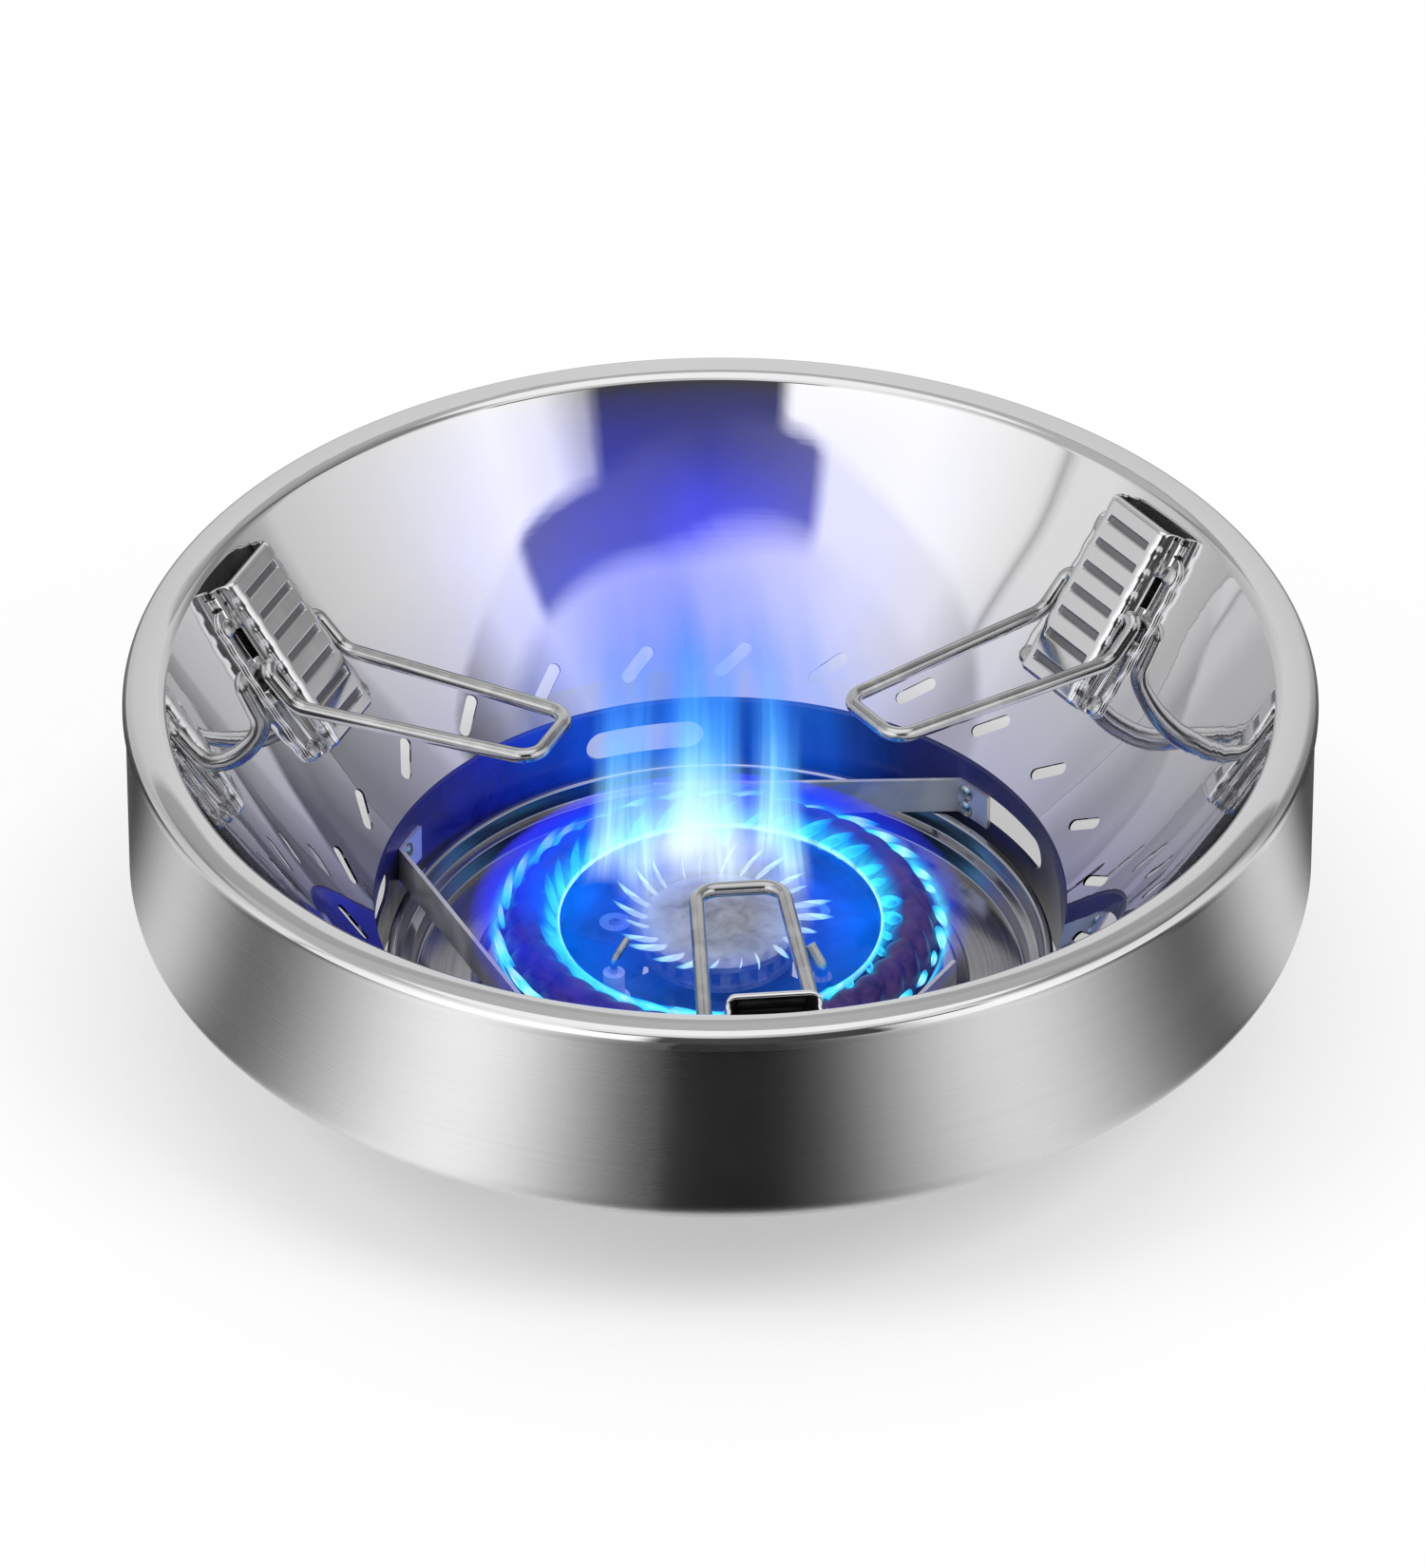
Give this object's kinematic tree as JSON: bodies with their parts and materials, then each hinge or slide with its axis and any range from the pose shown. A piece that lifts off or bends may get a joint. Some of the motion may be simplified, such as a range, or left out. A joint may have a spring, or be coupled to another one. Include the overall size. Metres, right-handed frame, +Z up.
{
  "type": "windshielded gas stove",
  "caption": "Round tabletop stove: mirror-polished reflector drum with folding wire pot loops, standing round a twin-ring burner in a stepped drip tray.",
  "frame": {"origin": "on the table, at the middle of the drum", "axes": "+Z up along the drum's axis; -Y towards the front of the picture"},
  "size_m": [0.27, 0.27, 0.086],
  "materials": {
    "bowl_steel": "mirror polished stainless steel",
    "band_steel": "stainless steel, fine vertical brush",
    "collar_black": "dark heat-blued steel",
    "strap_steel": "cold-rolled steel strip",
    "bracket_steel": "pressed stainless steel, bright",
    "wire_steel": "drawn stainless wire",
    "rivet_steel": "steel rivets and screws",
    "tray_steel": "satin stainless steel",
    "gasket_rubber": "red heat-proof silicone",
    "burner_cast": "black enamelled casting",
    "crown_cast": "dark heat-tinted casting",
    "head_cast": "machined casting",
    "feed_brass": "turned brass",
    "rod_ceramic": "white ceramic",
    "rod_steel": "heat-proof steel pin",
    "flame": "burning gas, blue"
  },
  "bodies": {
    "burner": {"drip_tray": "tray_steel", "base_gasket": "gasket_rubber", "burner_base": "burner_cast", "burner_screws": "rivet_steel", "burner_nuts": "rivet_steel", "outer_feed": "feed_brass", "inner_feed": "feed_brass", "inner_head": "head_cast", "igniter_ceramic": "rod_ceramic", "igniter_electrode": "rod_steel", "sensor_sheath": "feed_brass", "sensor_tip": "rod_steel"},
    "crown": {"outer_crown": "crown_cast"},
    "cap": {"inner_cap": "head_cast"},
    "windshield": {"outer_band": "band_steel", "reflector_bowl": "bowl_steel", "lower_collar": "collar_black", "centring_strap_1": "strap_steel", "centring_strap_2": "strap_steel", "centring_strap_3": "strap_steel", "strap_rivets": "rivet_steel", "support_bracket_1": "bracket_steel", "support_bracket_2": "bracket_steel", "support_bracket_3": "bracket_steel", "bracket_rivets": "rivet_steel"},
    "loop_1": {"pot_loop_1": "wire_steel"},
    "loop_2": {"pot_loop_2": "wire_steel"},
    "loop_3": {"pot_loop_3": "wire_steel"}
  },
  "joints": [
    {"name": "windshield_lift", "type": "slide", "parent": "burner", "child": "windshield", "axis": [0, 0, 1], "range_m": [0, 0.09]},
    {"name": "crown_lift", "type": "slide", "parent": "burner", "child": "crown", "axis": [0, 0, 1], "range_m": [0, 0.028]},
    {"name": "cap_lift", "type": "slide", "parent": "burner", "child": "cap", "axis": [0, 0, 1], "range_m": [0, 0.06]},
    {"name": "loop_1_fold", "type": "hinge", "parent": "windshield", "child": "loop_1", "pos_m": [0.08796, 0.06297, 0.0662], "axis": [-0.5821, 0.8131, 0], "range_deg": [0, 130]},
    {"name": "loop_2_fold", "type": "hinge", "parent": "windshield", "child": "loop_2", "pos_m": [-0.09852, 0.04469, 0.0662], "axis": [-0.4131, -0.9107, 0], "range_deg": [0, 130]},
    {"name": "loop_3_fold", "type": "hinge", "parent": "windshield", "child": "loop_3", "pos_m": [0.01056, -0.10766, 0.0662], "axis": [0.9952, 0.0976, 0], "range_deg": [0, 130]}
  ]
}
